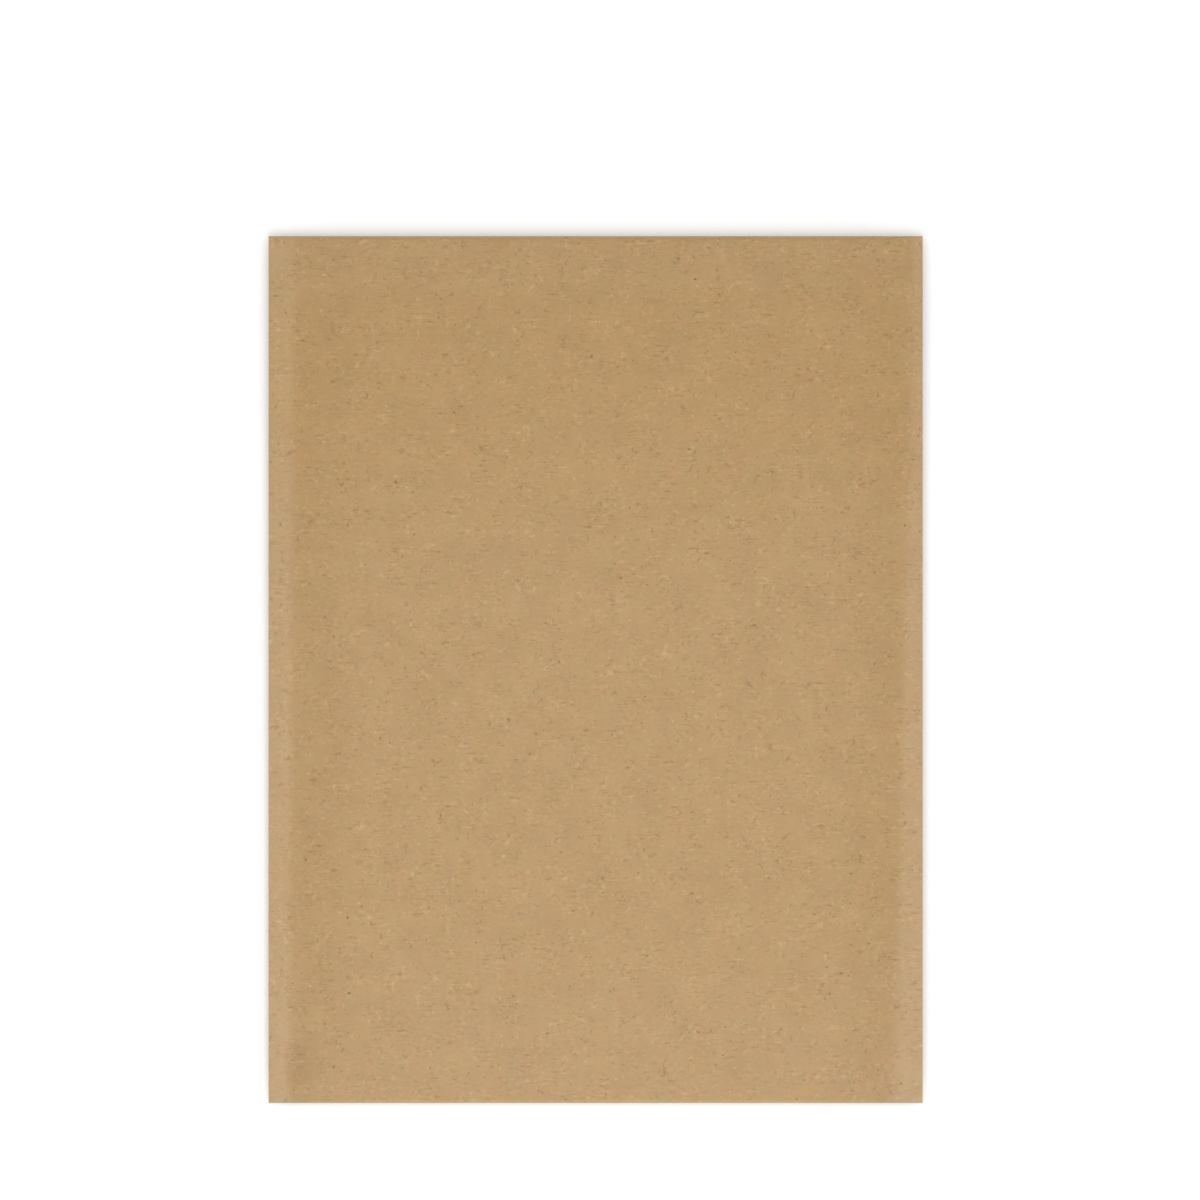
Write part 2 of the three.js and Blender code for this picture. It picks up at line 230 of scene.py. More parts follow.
class Shape:
    """Where the paper and the film lie, worked out from the sizes and the frame"""

    def __init__(self, sizes):
        low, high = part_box("kraft_sheet")
        self.sizes = sizes
        self.left, self.right = low.x, high.x
        self.bottom, self.top = low.y, high.y
        self.crest = high.z - sizes.paper
        self.lip = self.top - sizes.lip_setback
        self.flap_edge = self.top - sizes.flap
        self.ramp_end = self.flap_edge - FLAP_LEAD
        self.ramp_start = self.ramp_end - sizes.flap_ramp
        self.turn = sizes.fold_round + sizes.paper / 2
        self.film_reach = sizes.fold_round + TURN_MARGIN
        self.film_start = self.bottom + self.film_reach
        self.front_film_end = self.top - FILM_FOLD_GAP
        self.back_film_end = self.lip - FILM_LIP_GAP

    def left_seal(self, y):
        """Inner edge of the left sealed band"""
        part = (y - self.bottom) / (self.top - self.bottom)
        return self.left + blend(self.sizes.left_seal_bottom, self.sizes.left_seal_top, part)

    def right_seal(self, y):
        """Inner edge of the right sealed band"""
        part = (y - self.bottom) / (self.top - self.bottom)
        return self.right - blend(self.sizes.right_seal_bottom, self.sizes.right_seal_top, part)

    def inside(self, x, y):
        """How far a place is inside the nearer sealed band, less than 0 in the band"""
        return min(x - self.left_seal(y), self.right_seal(y) - x)

    def follow_seals(self, x, y):
        """A column laid out for the middle of the envelope, moved with the bands' skewed edges"""
        left, right = self.left_seal(0), self.right_seal(0)
        if x < left:
            return blend(self.left, self.left_seal(y), (x - self.left) / (left - self.left))
        if x > right:
            return blend(self.right_seal(y), self.right, (x - right) / (self.right - right))
        return blend(self.left_seal(y), self.right_seal(y), (x - left) / (right - left))

    def fullness(self, x, y, top_run):
        """0 at a sealed band, 1 where the padding holds a panel at its full height"""
        sizes = self.sizes
        part = max(self.inside(x, y), 0) / sizes.side_run
        part = (math.hypot(part, TOE) - TOE) / (math.hypot(1, TOE) - TOE)
        from_top = blend(sizes.top_share, 1, ease_out((self.top - y) / top_run))
        from_bottom = blend(sizes.bottom_share, 1, ease_out((y - self.bottom) / sizes.bottom_run))
        return ease_out(part) * from_top * from_bottom

    def waves(self, x, y, seed):
        """How much higher or lower the padding holds a panel here and there"""
        broad = noise.noise(Vector((x / BROAD_WAVE, y / BROAD_WAVE, seed)))
        small = noise.noise(Vector((x / SMALL_WAVE, y / SMALL_WAVE, seed)))
        return BROAD_RISE * broad + SMALL_RISE * small

    def puckers(self, x, y, seed):
        """Small ripples where the padding starts beside a sealed band"""
        inside = self.inside(x, y)
        if inside <= 0:
            return 0.0
        drift = PUCKER_DRIFT * noise.noise(Vector((x / BROAD_WAVE, y / BROAD_WAVE, seed)))
        ripple = math.sin(2 * math.pi * y / PUCKER_LENGTH + drift)
        part = inside / PUCKER_REACH
        return PUCKER_RISE * ripple * part * math.exp(1 - part)

    def underside(self, y):
        """Outer face of the back panel where it is pressed flat: on the table or on the flap"""
        climb = self.sizes.paper + self.sizes.flap_slot
        return climb * smooth_step(y, self.ramp_start, self.ramp_end)

    def back(self, x, y):
        """Inner face of the back panel"""
        sizes = self.sizes
        full = self.fullness(x, y, sizes.top_back_run)
        return blend(sizes.seal_height - sizes.seal_film / 2, self.underside(y) + sizes.paper, full)

    def front(self, x, y):
        """Inner face of the front panel"""
        sizes = self.sizes
        full = self.fullness(x, y, sizes.top_front_run)
        flat = blend(sizes.seal_height + sizes.seal_film / 2, self.crest - WAVE_ROOM, full)
        return flat + full * self.waves(x, y, FRONT_SEED) + self.puckers(x, y, FRONT_SEED)

    def flap(self, x, y):
        """Inner face of the flap. It follows the back panel from the fold and comes down flat."""
        nested = self.back(x, y) - self.sizes.paper - self.sizes.flap_slot
        settled = smooth_step(y, self.top - self.turn, self.top - FLAP_SETTLE)
        return blend(nested, self.sizes.paper, settled)

    def front_middle(self, x, y):
        """Middle of the front panel's paper"""
        return self.front(x, y) + self.sizes.paper / 2

    def back_middle(self, x, y):
        """Middle of the back panel's paper"""
        return self.back(x, y) - self.sizes.paper / 2

    def flap_middle(self, x, y):
        """Middle of the flap's paper"""
        return self.flap(x, y) - self.sizes.paper / 2

    def fold_place(self, x, angle, end, lower, upper):
        """A place on a fold at one end, from -90 degrees at the lower panel to 90 at the upper"""
        inward = -math.copysign(1, end)
        near = end + inward * self.sizes.fold_round
        rise = (upper(x, near) - lower(x, near)) / 2
        reach = min(self.sizes.fold_round, rise)
        centre = end + inward * (self.sizes.paper / 2 + reach)
        middle = (upper(x, near) + lower(x, near)) / 2
        return Vector((x, centre - inward * reach * math.cos(angle), middle + rise * math.sin(angle)))

    def film_room(self, x, y):
        """Lowest and highest face of the film between the two papers"""
        low, high = self.back(x, y), self.front(x, y)
        gap = min(self.sizes.film_clearance, (high - low) * FILM_GAP_SHARE)
        return low + gap, high - gap

    def film_place(self, x, along, rise):
        """A place on the folded film. along is its distance from the middle of the bottom turn, less
        than 0 on the front, and rise its height above the film's pocket face when it lies flat."""
        sizes = self.sizes
        half_turn = self.film_reach
        y = self.film_start + max(abs(along) - half_turn, 0)
        x = self.follow_seals(x, y)
        low, high = self.film_room(x, y)
        middle, half_room = (low + high) / 2, (high - low) / 2
        half_pocket = half_room * sizes.pocket / (2 * sizes.film + sizes.pocket)
        room = half_room - half_pocket
        web = min(sizes.film_web, room)
        if rise <= sizes.film_web:
            lift = web * rise / sizes.film_web
        else:
            lift = blend(web, room, (rise - sizes.film_web) / (sizes.film - sizes.film_web))
        if abs(along) >= half_turn:
            return Vector((x, y, middle - math.copysign(half_pocket + lift, along)))
        angle = -along / half_turn * math.pi / 2
        outer = self.film_reach - sizes.paper - sizes.film_clearance
        reach = blend(half_pocket, outer, lift / room)
        up = blend(half_pocket, half_room, lift / room)
        return Vector((x, y - reach * math.cos(angle), middle + up * math.sin(angle)))


# Modelling helpers


def deselect_all():
    """Leaves nothing selected, because an operator acts on all that is"""
    bpy.ops.object.select_all(action="DESELECT")


def named(name):
    """The active object, named, with its place in its mesh"""
    piece = bpy.context.object
    piece.name = name
    piece.data.name = name
    bpy.ops.object.transform_apply(location=True, rotation=True, scale=True)
    return piece


def add_sheet(name, left, right, near, far, height):
    """A flat rectangle at its size and place"""
    deselect_all()
    middle = ((left + right) / 2, (near + far) / 2, height)
    bpy.ops.mesh.primitive_plane_add(size=1, location=middle)
    bpy.ops.transform.resize(value=(right - left, far - near, 1))
    return named(name)


def edit(piece, mode):
    """Opens a piece in edit mode for its vertices, edges or faces"""
    bpy.context.view_layer.objects.active = piece
    piece.select_set(True)
    bpy.ops.object.mode_set(mode="EDIT")
    bpy.ops.mesh.select_mode(type=mode)


def close_edit():
    """Back to object mode"""
    bpy.ops.object.mode_set(mode="OBJECT")


def select_edges(piece, wanted):
    """Selects the edges for which wanted(first place, second place) is true"""
    bpy.ops.mesh.select_all(action="DESELECT")
    mesh = bmesh.from_edit_mesh(piece.data)
    for edge in mesh.edges:
        if wanted(edge.verts[0].co, edge.verts[1].co):
            edge.select_set(True)
    bmesh.update_edit_mesh(piece.data)


def cut_grid(columns, rows=()):
    """Cuts the edited piece at places along X, and then at places along Y"""
    planes = [((x, 0, 0), (1, 0, 0)) for x in columns] + [((0, y, 0), (0, 1, 0)) for y in rows]
    for place, direction in planes:
        bpy.ops.mesh.select_all(action="SELECT")
        bpy.ops.mesh.bisect(plane_co=place, plane_no=direction)


def apply_modifier(piece, modifier):
    """Applies a modifier to the piece's mesh"""
    bpy.context.view_layer.objects.active = piece
    bpy.ops.object.modifier_apply(modifier=modifier.name)


def thicken(piece, thickness, offset):
    """Gives a sheet its thickness"""
    solid = piece.modifiers.new("Thickness", "SOLIDIFY")
    solid.thickness = thickness
    solid.offset = offset
    solid.use_even_offset = True
    apply_modifier(piece, solid)


def face_outwards(piece):
    """Merges doubled corners and turns the faces outwards, after a spin or a fold turned them round"""
    edit(piece, "FACE")
    bpy.ops.mesh.select_all(action="SELECT")
    bpy.ops.mesh.remove_doubles(threshold=MERGE_REACH)
    bpy.ops.mesh.normals_make_consistent(inside=False)
    close_edit()


def smooth_faces(piece, degrees):
    """Smooth shading, apart from edges sharper than an angle"""
    deselect_all()
    bpy.context.view_layer.objects.active = piece
    piece.select_set(True)
    bpy.ops.object.shade_smooth_by_angle(angle=math.radians(degrees))


def finish_piece(piece, node, material):
    """Puts a piece on its body, in the place of its CAD node, with its material"""
    piece.data.materials.clear()
    piece.data.materials.append(material)
    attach(piece, "root")
    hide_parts(node)


# Kraft sheet


def paper_columns(shape):
    """Places across the sheet where it is cut into columns, finest where it leaves its seals"""
    run = shape.sizes.side_run
    left, right = shape.left_seal(0), shape.right_seal(0)
    places = spread(shape.left, left, EDGE_STEP)[1:]
    places += spread(left, left + run, FINE_STEP)[1:]
    places += spread(left + run, right - run, PLAIN_STEP)[1:]
    places += spread(right - run, right, FINE_STEP)[1:]
    places += spread(right, shape.right, EDGE_STEP)[1:-1]
    return places


def select_row(piece, y, height):
    """Selects the row of edges at one end of a panel"""
    def in_row(first, second):
        return all(abs(p.y - y) < NEAR and abs(p.z - height) < NEAR for p in (first, second))

    select_edges(piece, in_row)


def extrude_panel(piece, levels, height):
    """Extrudes a panel from the row at its first level, one stretch for each (end, step) after it"""
    start = levels[0]
    for end, step in levels[1:]:
        select_row(piece, start, height)
        bpy.ops.mesh.extrude_region_move(TRANSFORM_OT_translate={"value": (0, end - start, 0)})
        low, high = min(start, end), max(start, end)

        def along(first, second):
            inside = all(low - NEAR < p.y < high + NEAR for p in (first, second))
            level = all(abs(p.z - height) < NEAR for p in (first, second))
            return inside and level and abs(first.y - second.y) > NEAR

        cuts = len(spread(start, end, step)) - 2
        if cuts > 0:
            select_edges(piece, along)
            bpy.ops.mesh.subdivide(number_cuts=cuts)
        start = end


def spin_fold(piece, y, height, next_height):
    """Spins the row at the end of a panel half a turn, to the height of the next panel"""
    select_row(piece, y, height)
    centre = (0, y, (height + next_height) / 2)
    bpy.ops.mesh.spin(steps=FOLD_STEPS, angle=-math.pi, center=centre, axis=(1, 0, 0))


def fold_blank(shape):
    """The cut blank, folded: flap, top fold, front, bottom fold and back, each from the last"""
    sizes = shape.sizes
    top_turn, bottom_turn = shape.top - shape.turn, shape.bottom + shape.turn
    flap_bend = shape.top - sizes.top_back_run
    front_bend = shape.top - sizes.bottom_run
    bottom_bend = shape.bottom + sizes.bottom_run
    first_row = shape.flap_edge + EDGE_STEP
    sheet = add_sheet(
        "kraft_paper_sheet", shape.left, shape.right, shape.flap_edge, first_row, FLAP_LEVEL
    )
    edit(sheet, "EDGE")
    cut_grid(paper_columns(shape))
    extrude_panel(sheet, [first_row, (flap_bend, PLAIN_STEP), (top_turn, EDGE_STEP)], FLAP_LEVEL)
    spin_fold(sheet, top_turn, FLAP_LEVEL, FRONT_LEVEL)
    front = [top_turn, (front_bend, EDGE_STEP), (bottom_bend, PLAIN_STEP), (bottom_turn, EDGE_STEP)]
    extrude_panel(sheet, front, FRONT_LEVEL)
    spin_fold(sheet, bottom_turn, FRONT_LEVEL, BACK_LEVEL)
    back = [
        bottom_turn,
        (bottom_bend, EDGE_STEP),
        (shape.ramp_start, PLAIN_STEP),
        (shape.flap_edge, EDGE_STEP),
        (flap_bend, PLAIN_STEP),
        (shape.lip, EDGE_STEP),
    ]
    extrude_panel(sheet, back, BACK_LEVEL)
    close_edit()
    return sheet


# Lengths of paper in the two folds, for the sheet's own map
TOP_FOLD_PAPER = 6.4 * MM
BOTTOM_FOLD_PAPER = 4.6 * MM


def press_corner(shape, place):
    """Where a corner of the folded blank lies in the finished envelope, its distance along the sheet
    from the flap's free edge, and its panel"""
    x, y, z = place
    top_turn, bottom_turn = shape.top - shape.turn, shape.bottom + shape.turn
    front_start = top_turn - shape.flap_edge + TOP_FOLD_PAPER
    back_start = front_start + top_turn - bottom_turn + BOTTOM_FOLD_PAPER
    if y > top_turn - NEAR:
        angle = math.atan2(z - (FLAP_LEVEL + FRONT_LEVEL) / 2, y - top_turn)
        x = shape.follow_seals(x, shape.top)
        moved = shape.fold_place(x, angle, shape.top, shape.flap_middle, shape.front_middle)
        return moved, front_start + (angle / math.pi - 0.5) * TOP_FOLD_PAPER, "fold"
    if y < bottom_turn + NEAR:
        angle = math.atan2(z - (BACK_LEVEL + FRONT_LEVEL) / 2, bottom_turn - y)
        x = shape.follow_seals(x, shape.bottom)
        moved = shape.fold_place(x, angle, shape.bottom, shape.back_middle, shape.front_middle)
        return moved, back_start - (angle / math.pi + 0.5) * BOTTOM_FOLD_PAPER, "fold"
    x = shape.follow_seals(x, y)
    if z < FLAP_LEVEL + NEAR:
        return Vector((x, y, shape.flap_middle(x, y))), y - shape.flap_edge, "flap"
    if z < BACK_LEVEL + NEAR:
        return Vector((x, y, shape.back_middle(x, y))), back_start + y - bottom_turn, "back"
    return Vector((x, y, shape.front_middle(x, y))), front_start + top_turn - y, "front"

# Marks on the paper: the sealed bands, a painted highlight along the folds and a patch of painted shade

# Marks on the paper
SEAL_BLUR = 1.3 * MM
# How far in from a fold's edge the painted highlight reaches
HIGHLIGHT_REACH = 0.45 * MM
# Painted shade: a soft dark patch near the bottom left corner of the front, where a shallow dent would
# be shaded
SHADE_PATCH_CENTRE = Vector((-77.1 * MM, -102.8 * MM))
SHADE_PATCH_HALF = Vector((3.6 * MM, 5.4 * MM))
SHADE_PATCH_BLUR = 1.2 * MM


def shade_patch_at(x, y):
    """1 in the soft dark patch of painted shade near the bottom left corner of the front, and 0 round it
    """
    outside_x = abs(x - SHADE_PATCH_CENTRE.x) - SHADE_PATCH_HALF.x
    outside_y = abs(y - SHADE_PATCH_CENTRE.y) - SHADE_PATCH_HALF.y
    across = smooth_step(outside_x, SHADE_PATCH_BLUR, -SHADE_PATCH_BLUR)
    return across * smooth_step(outside_y, SHADE_PATCH_BLUR, -SHADE_PATCH_BLUR)


def press_sheet(sheet, shape):
    """Presses the folded blank to its shape, and marks its seals, the painted highlight along its folds
    and the patch of painted shade for the paint
    """
    mesh = sheet.data
    flat_x = [vertex.co.x for vertex in mesh.vertices]
    pressed = [press_corner(shape, vertex.co) for vertex in mesh.vertices]
    for name in (SEALED, PAINTED_HIGHLIGHT, PAINTED_SHADE):
        mesh.attributes.new(name, "FLOAT", "POINT")
    marks = {name: mesh.attributes[name] for name in (SEALED, PAINTED_HIGHLIGHT, PAINTED_SHADE)}
    for index, (place, _, panel) in enumerate(pressed):
        mesh.vertices[index].co = place
        inside = shape.inside(place.x, place.y)
        to_end = min(shape.top - place.y, place.y - shape.bottom)
        sealed = 0 if panel == "flap" else smooth_step(inside, SEAL_BLUR, -SEAL_BLUR)
        marks[SEALED].data[index].value = sealed
        # Painted highlight: 1 at the top and bottom edges, gone a short way in
        marks[PAINTED_HIGHLIGHT].data[index].value = smooth_step(to_end, HIGHLIGHT_REACH, 0)
        # Painted shade patch, on the front only
        marks[PAINTED_SHADE].data[index].value = shade_patch_at(place.x, place.y) if panel == "front" else 0
    sheet_map = mesh.uv_layers.new(name=SHEET_MAP)
    for loop in mesh.loops:
        index = loop.vertex_index
        sheet_map.data[loop.index].uv = (flat_x[index] - shape.left, pressed[index][1])


class ENVELOPE_OT_kraft_sheet(bpy.types.Operator):
    """Fold the kraft sheet and press it to the shape that its padding and seals give it"""

    bl_idname = "envelope.kraft_sheet"
    bl_label = "Kraft Sheet"

    def execute(self, context):
        shape = Shape(context.scene.envelope_sizes)
        sheet = fold_blank(shape)
        face_outwards(sheet)
        press_sheet(sheet, shape)
        thicken(sheet, shape.sizes.paper, 0)
        smooth_faces(sheet, PAPER_SHARP)
        material = kraft_material(context.scene.envelope_colours, shape.sizes.bubble_pitch)
        finish_piece(sheet, "kraft_sheet", material)
        return {"FINISHED"}


# Bubble lining


def film_ends(shape):
    """Where the flat film ends, on the front and on the back, from the middle of its bottom turn"""
    front = -(shape.film_reach + shape.front_film_end - shape.film_start)
    back = shape.film_reach + shape.back_film_end - shape.film_start
    return front, back


def flat_web(shape):
    """The flat film in the paper's columns, with finer rows where it turns at the bottom"""
    front, back = film_ends(shape)
    left, right = shape.left + FILM_SETBACK, shape.right - FILM_SETBACK
    web = add_sheet("bubble_film_lining", left, right, front, back, 0)
    edit(web, "EDGE")
    turn = shape.film_reach
    rows = spread(front, -turn, FILM_STEP)[1:]
    rows += spread(-turn, turn, 2 * turn / TURN_CUTS)[1:]
    rows += spread(turn, back, FILM_STEP)[1:-1]
    cut_grid(paper_columns(shape), rows)
    close_edit()
    thicken(web, shape.sizes.film_web, 1)
    return web


# Form of one bubble
BUBBLE_ROUND = 1.5 * MM
BUBBLE_ROUND_STEPS = 2
BUBBLE_MARGIN = 0.8 * MM


def one_bubble(shape):
    """A bubble: a low round drum with a rounded rim, sunk half way into the film that carries it"""
    sizes = shape.sizes
    base = sizes.film_web / 2
    depth = sizes.film - base
    deselect_all()
    bpy.ops.mesh.primitive_cylinder_add(
        vertices=BUBBLE_SIDES, radius=sizes.bubble / 2, depth=depth, location=(0, 0, base + depth / 2)
    )
    bubble = named("bubbles")
    edit(bubble, "EDGE")
    select_edges(bubble, lambda first, second: min(first.z, second.z) > sizes.film - NEAR)
    bpy.ops.mesh.bevel(offset=BUBBLE_ROUND, segments=BUBBLE_ROUND_STEPS, affect="EDGES")
    close_edit()
    return bubble


def repeat(piece, count, step):
    """Repeats a piece in a row"""
    row = piece.modifiers.new("Row", "ARRAY")
    row.use_relative_offset = False
    row.use_constant_offset = True
    row.constant_offset_displace = step
    row.count = count
    apply_modifier(piece, row)


def keep_bubbles(bubbles, corners, shape):
    """Deletes the bubbles that would lie in a seal, in the bottom turn or past the film's ends"""
    front, back = film_ends(shape)
    clear = shape.sizes.bubble / 2 + BUBBLE_MARGIN
    left, right = shape.left_seal(0) + clear, shape.right_seal(0) - clear
    edit(bubbles, "VERT")
    bpy.ops.mesh.select_all(action="DESELECT")
    mesh = bmesh.from_edit_mesh(bubbles.data)
    mesh.verts.ensure_lookup_table()
    for start in range(0, len(mesh.verts), corners):
        bubble = mesh.verts[start : start + corners]
        x = sum(vertex.co.x for vertex in bubble) / corners
        y = sum(vertex.co.y for vertex in bubble) / corners
        on_panel = shape.film_reach + clear < abs(y) and front + clear < y < back - clear
        if not (on_panel and left <= x <= right):
            for vertex in bubble:
                vertex.select_set(True)
    bmesh.update_edit_mesh(bubbles.data)
    bpy.ops.mesh.delete(type="VERT")
    close_edit()


def bubble_field(shape):
    """Bubbles in close-set rows over the whole flat film"""
    pitch = shape.sizes.bubble_pitch
    row_pitch = pitch * math.sqrt(3) / 2
    front, back = film_ends(shape)
    bubbles = one_bubble(shape)
    corners = len(bubbles.data.vertices)
    across = math.ceil((shape.right - shape.left) / pitch) + 1
    rows = math.ceil((back - front) / row_pitch / 2) + 1
    repeat(bubbles, across, (pitch, 0, 0))
    repeat(bubbles, rows, (0, 2 * row_pitch, 0))
    deselect_all()
    bubbles.select_set(True)
    bpy.ops.transform.translate(value=(-(across - 1) * pitch / 2, front, 0))
    bpy.ops.object.duplicate()
    bpy.ops.transform.translate(value=(pitch / 2, row_pitch, 0))
    bubbles.select_set(True)
    bpy.context.view_layer.objects.active = bubbles
    bpy.ops.object.join()
    bpy.ops.object.transform_apply(location=True, rotation=True, scale=True)
    keep_bubbles(bubbles, corners, shape)
    return bubbles


def fold_film(film, shape):
    """Folds the flat film into the envelope"""
    for vertex in film.data.vertices:
        vertex.co = shape.film_place(*vertex.co)


class ENVELOPE_OT_bubble_lining(bpy.types.Operator):
    """Make the bubble film flat, with its bubbles, and fold it into the envelope"""

    bl_idname = "envelope.bubble_lining"
    bl_label = "Bubble Lining"

    def execute(self, context):
        shape = Shape(context.scene.envelope_sizes)
        lining = flat_web(shape)
        bubbles = bubble_field(shape)
        deselect_all()
        bubbles.select_set(True)
        lining.select_set(True)
        bpy.context.view_layer.objects.active = lining
        bpy.ops.object.join()
        fold_film(lining, shape)
        face_outwards(lining)
        smooth_faces(lining, FILM_SHARP)
        material = film_material(context.scene.envelope_colours)
        finish_piece(lining, "bubble_lining", material)
        return {"FINISHED"}


# Closure strips
GLUE = 0.1 * MM
LINER = 0.1 * MM
STRIP_GAP = 0.08 * MM
STRIP_INSET = 6 * MM
GLUE_SIDE_GAP = 3 * MM
LINER_SIDE_GAP = 1.5 * MM
GLUE_WAVE = 7 * MM
GLUE_WAVER = 0.35 * MM


def flap_strip(shape, name, start, width, side_gap, lift, thickness, waver):
    """A thin strip across the flap's inner face, lift above its paper, with slightly wavy edges"""
    left, right = shape.left + side_gap, shape.right - side_gap
    strip = add_sheet(name, left, right, start, start + width, 0)
    edit(strip, "EDGE")
    columns = spread(left, right, EDGE_STEP)[1:-1]
    cut_grid(columns, spread(start, start + width, PLAIN_STEP)[1:-1])
    close_edit()
    for vertex in strip.data.vertices:
        x, y, _ = vertex.co
        side = (y - start) / width * 2 - 1
        y += waver * side * noise.noise(Vector((x / GLUE_WAVE, side, start)))
        vertex.co = (x, y, shape.flap(x, y) + lift)
    thicken(strip, thickness, 1)
    smooth_faces(strip, PAPER_SHARP)
    return strip


class ENVELOPE_OT_closure_strips(bpy.types.Operator):
    """Lay the glue strip on the flap's inner face and cover it with its release liner"""

    bl_idname = "envelope.closure_strips"
    bl_label = "Closure Strips"

    def execute(self, context):
        sizes = context.scene.envelope_sizes
        colours = context.scene.envelope_colours
        shape = Shape(sizes)
        liner_start = shape.flap_edge + STRIP_INSET
        glue_start = liner_start + (sizes.liner_width - sizes.glue_width) / 2
        glue = flap_strip(
            shape, "glue_strip", glue_start, sizes.glue_width, GLUE_SIDE_GAP, STRIP_GAP, GLUE, GLUE_WAVER
        )
        finish_piece(glue, "adhesive_strip", glue_material(colours))
        liner_lift = STRIP_GAP + GLUE + STRIP_GAP
        liner = flap_strip(
            shape, "peel_off_liner", liner_start, sizes.liner_width, LINER_SIDE_GAP, liner_lift, LINER, 0
        )
        finish_piece(liner, "release_liner", liner_material(colours))
        return {"FINISHED"}


# Materials


class Paint:
    """A node material with its shader, and the nodes that colour it"""

    def __init__(self, name):
        self.material = bpy.data.materials.new(name)
        self.material.use_nodes = True
        self.tree = self.material.node_tree
        self.shader = self.tree.nodes["Principled BSDF"]

    def node(self, kind, settings=(), **inputs):
        """Adds a node. An input is a value or another node's output, and _0 is the first socket."""
        node = self.tree.nodes.new(kind)
        for name, value in dict(settings).items():
            setattr(node, name, value)
        for name, value in inputs.items():
            socket = node.inputs[int(name[1:])] if name[0] == "_" else node.inputs[name]
            if isinstance(value, bpy.types.NodeSocket):
                self.tree.links.new(value, socket)
            else:
                socket.default_value = value
        return node

    def place(self):
        """Where a point is on the piece"""
        return self.node("ShaderNodeTexCoord").outputs["Object"]

    def attribute(self, name):
        """A number that the piece's mesh carries"""
        return self.node("ShaderNodeAttribute", {"attribute_name": name}).outputs["Fac"]

    def noise(self, place, size, detail=2.0, rough=0.5, output="Fac"):
        """Soft noise of about one size, from 0 to 1"""
        inputs = {"Vector": place, "Scale": 1 / size, "Detail": detail, "Roughness": rough}
        return self.node("ShaderNodeTexNoise", **inputs).outputs[output]

    def moved(self, place, shift=(0, 0, 0), turn=0.0, scale=(1, 1, 1)):
        """A place shifted, turned and stretched before a pattern reads it"""
        rotation = (0, 0, math.radians(turn))
        inputs = {"Vector": place, "Location": shift, "Rotation": rotation, "Scale": scale}
        return self.node("ShaderNodeMapping", **inputs).outputs["Vector"]

    def ragged(self, place, size, reach):
        """A place pushed about by noise, which gives a pattern ragged edges"""
        push = self.vectors("SUBTRACT", self.noise(place, size, 2.0, 0.6, "Color"), (0.5, 0.5, 0.5))
        return self.vectors("MULTIPLY_ADD", push, (reach, reach, reach), place)

    def ramp(self, value, start, end, low=0.0, high=1.0):
        """low up to start, high from end, and smooth in between"""
        settings = {"interpolation_type": "SMOOTHSTEP"}
        inputs = {"_0": value, "_1": start, "_2": end, "_3": low, "_4": high}
        return self.node("ShaderNodeMapRange", settings, **inputs).outputs["Result"]

    def maths(self, operation, first, second=0.0, third=0.0):
        """One sum on numbers"""
        node = self.node("ShaderNodeMath", {"operation": operation}, _0=first, _1=second, _2=third)
        return node.outputs[0]

    def times(self, first, second):
        """The product of two numbers"""
        return self.maths("MULTIPLY", first, second)

    def total(self, *values):
        """The sum of several numbers"""
        result = values[0]
        for value in values[1:]:
            result = self.maths("ADD", result, value)
        return result

    def swing(self, value, amount):
        """A noise from 0 to 1 as a number round 0, as large as amount"""
        return self.times(self.maths("SUBTRACT", value, 0.5), amount)

    def mixed(self, factor, first, second):
        """One colour into another"""
        node = self.node("ShaderNodeMix", {"data_type": "RGBA"}, _0=factor, _6=first, _7=second)
        return node.outputs[2]

    def vectors(self, operation, first, second, third=(0, 0, 0)):
        """One sum on colours or places. A number counts for all three channels."""
        settings = {"operation": operation}
        node = self.node("ShaderNodeVectorMath", settings, _0=first, _1=second, _2=third)
        return node.outputs[0]

    def shaded(self, tint, light, channels=(1, 1, 1)):
        """A colour made lighter or darker by a number round 0. Each channel takes its own share."""
        return self.vectors("MULTIPLY", tint, self.vectors("MULTIPLY_ADD", light, channels, (1, 1, 1)))

    def preset(self, values):
        """Sets inputs of the shader to plain values"""
        for name, value in values.items():
            self.shader.inputs[name].default_value = value

    def finish(self, tint, roughness, relief, depth):
        """Joins the colour, the roughness and the small relief to the shader"""
        self.tree.links.new(tint, self.shader.inputs["Base Color"])
        self.tree.links.new(roughness, self.shader.inputs["Roughness"])
        bump = self.node("ShaderNodeBump", Height=relief, Distance=depth)
        self.tree.links.new(bump.outputs["Normal"], self.shader.inputs["Normal"])
        return self.material


def rgba(tint):
    """A colour property as a colour socket takes it"""
    return (*tint, 1.0)


# What shows in the kraft paper
GREYING = (1.0, 1.17, 1.4)
PINK = (0.5, -0.25, -0.1)
SALLOW = (0.1, 0.1, -0.6)
# Share of the painted sheen that each channel takes
SHEEN_SHARES = (0.1, 0.27, 1.0)
BUBBLE_SHOW = 2.0
OTHER_TURN = 47
OTHER_SHIFT = (0.71, 0.37, 0)
RAGGED_SHIFT = (0.43, 0.19, 0)
CLOUD_SIZE = 12 * MM
HUE_SIZE = 7 * MM
CLUSTER_SIZE = 6 * MM
GRAIN_SIZE = 1.3 * MM
RAG_SIZE = 0.8 * MM
RAG_REACH = 0.8 * MM
CRUMB_SIZE = 1.3 * MM
DASH_LENGTH = 3.0 * MM
DASH_WIDTH = 0.65 * MM
DASH_TURNS = (3, 92)
DASH_SHIFTS = ((0, 0, 0), (0.3, 0.1, 0))
FIBRE_BEND = 5 * MM
FIBRE_BREAK = 2.2 * MM
FIBRE_WIDTH = 0.02
SPECK_CELL = 11 * MM
SPECK_SIZE = 0.4 * MM
SPECK_LEAST = 0.6
